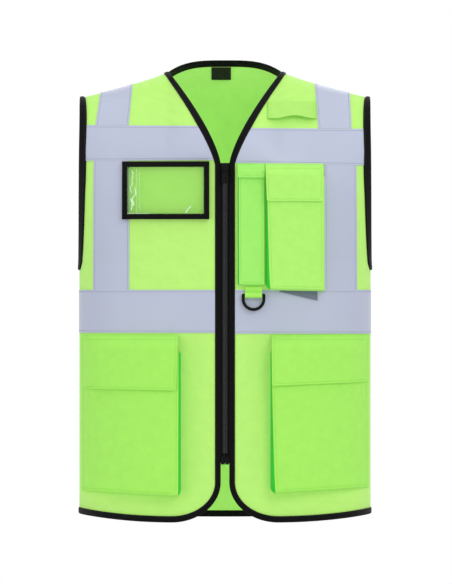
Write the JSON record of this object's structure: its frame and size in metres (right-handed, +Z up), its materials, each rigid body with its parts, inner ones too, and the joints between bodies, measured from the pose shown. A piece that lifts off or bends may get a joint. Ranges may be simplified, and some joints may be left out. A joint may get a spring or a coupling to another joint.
{
  "type": "high visibility vest",
  "caption": "Sleeveless neon safety vest with reflective bands, front zip, card window, pen and phone pockets, cargo pockets with flaps and a hanging ring.",
  "frame": {"origin": "midway between the two points where the shoulder seams meet the neck", "axes": "+Z up, the front faces -Y, +X is the wearer's left"},
  "size_m": [0.4148, 0.2705, 0.6492],
  "materials": {
    "body_fabric": "matt knitted polyester",
    "pocket_fabric": "matt woven polyester",
    "reflective_tape": "glass bead tape, pale grey",
    "binding": "black ribbed binding tape",
    "zip_tape": "black woven zip tape",
    "zip_plastic": "moulded black acetal",
    "clear_window": "clear soft vinyl",
    "hook_and_loop": "hook and loop tape",
    "label_fabric": "black satin label",
    "tag_fabric": "grey woven tag"
  },
  "bodies": {
    "shell": {"back_yoke": "body_fabric", "back_panel": "body_fabric", "back_skirt": "body_fabric", "back_chest_band": "reflective_tape", "back_waist_band": "reflective_tape", "back_band_left": "reflective_tape", "back_band_right": "reflective_tape", "yoke_left": "body_fabric", "yoke_right": "body_fabric", "shoulder_band_left": "reflective_tape", "shoulder_band_right": "reflective_tape", "neck_binding": "binding", "armhole_binding_left": "binding", "armhole_binding_right": "binding", "hem_binding_back": "binding", "neck_label": "label_fabric", "radio_loop": "pocket_fabric"},
    "front_left": {"front_panel_left": "body_fabric", "front_skirt_left": "body_fabric", "chest_band_left": "reflective_tape", "waist_band_left": "reflective_tape", "front_band_left": "reflective_tape", "edge_binding_left": "binding", "front_armhole_left": "binding", "zip_tape_left": "zip_tape", "zip_teeth_left": "zip_plastic", "zip_pin": "zip_plastic", "pen_pocket": "pocket_fabric", "phone_pocket": "pocket_fabric", "ring_loop": "pocket_fabric", "side_tag": "tag_fabric", "cargo_pocket_left": "pocket_fabric", "pen_patch": "hook_and_loop", "phone_patch": "hook_and_loop", "cargo_patch_left": "hook_and_loop"},
    "front_right": {"front_panel_right": "body_fabric", "front_skirt_right": "body_fabric", "chest_band_right": "reflective_tape", "waist_band_right": "reflective_tape", "front_band_right": "reflective_tape", "edge_binding_right": "binding", "front_armhole_right": "binding", "zip_tape_right": "zip_tape", "zip_teeth_right": "zip_plastic", "zip_box": "zip_plastic", "card_window": "clear_window", "card_frame": "binding", "cargo_pocket_right": "pocket_fabric", "cargo_patch_right": "hook_and_loop"},
    "slider": {"zip_slider": "zip_plastic", "zip_slider_back": "zip_plastic"},
    "pull_tab": {"pull_tab": "zip_plastic"},
    "pen_flap": {"pen_flap": "pocket_fabric"},
    "phone_flap": {"phone_flap": "pocket_fabric"},
    "cargo_flap_left": {"cargo_flap_left": "pocket_fabric"},
    "cargo_flap_right": {"cargo_flap_right": "pocket_fabric"},
    "d_ring": {"d_ring": "zip_plastic"}
  },
  "joints": [
    {"name": "front_left_swing", "type": "hinge", "parent": "shell", "child": "front_left", "pos_m": [0.205, 0, -0.35], "axis": [0, 0, 1], "range_deg": [0, 25]},
    {"name": "front_right_swing", "type": "hinge", "parent": "shell", "child": "front_right", "pos_m": [-0.205, 0, -0.35], "axis": [0, 0, -1], "range_deg": [0, 25]},
    {"name": "slider_travel", "type": "slide", "parent": "front_right", "child": "slider", "axis": [0, 0, -1], "range_m": [0, 0.398]},
    {"name": "tab_tilt", "type": "hinge", "parent": "slider", "child": "pull_tab", "pos_m": [0, -0.1339, -0.1375], "axis": [-1, 0, 0], "range_deg": [0, 150]},
    {"name": "pen_flap_lift", "type": "hinge", "parent": "front_left", "child": "pen_flap", "pos_m": [0.03687, -0.12987, -0.1285], "axis": [-0.9991, -0.0433, 0], "range_deg": [0, 120]},
    {"name": "phone_flap_lift", "type": "hinge", "parent": "front_left", "child": "phone_flap", "pos_m": [0.09943, -0.12039, -0.129], "axis": [-0.9639, -0.2662, 0], "range_deg": [0, 120]},
    {"name": "cargo_flap_left_lift", "type": "hinge", "parent": "front_left", "child": "cargo_flap_left", "pos_m": [0.14964, -0.1037, -0.3685], "axis": [-0.8317, -0.5552, 0], "range_deg": [0, 90]},
    {"name": "cargo_flap_right_lift", "type": "hinge", "parent": "front_right", "child": "cargo_flap_right", "pos_m": [-0.1478, -0.10474, -0.3685], "axis": [-0.8377, 0.5461, 0], "range_deg": [0, 90]},
    {"name": "ring_swing", "type": "hinge", "parent": "front_left", "child": "d_ring", "pos_m": [0.04, -0.13443, -0.3135], "axis": [-1, 0, 0], "range_deg": [0, 120]}
  ]
}
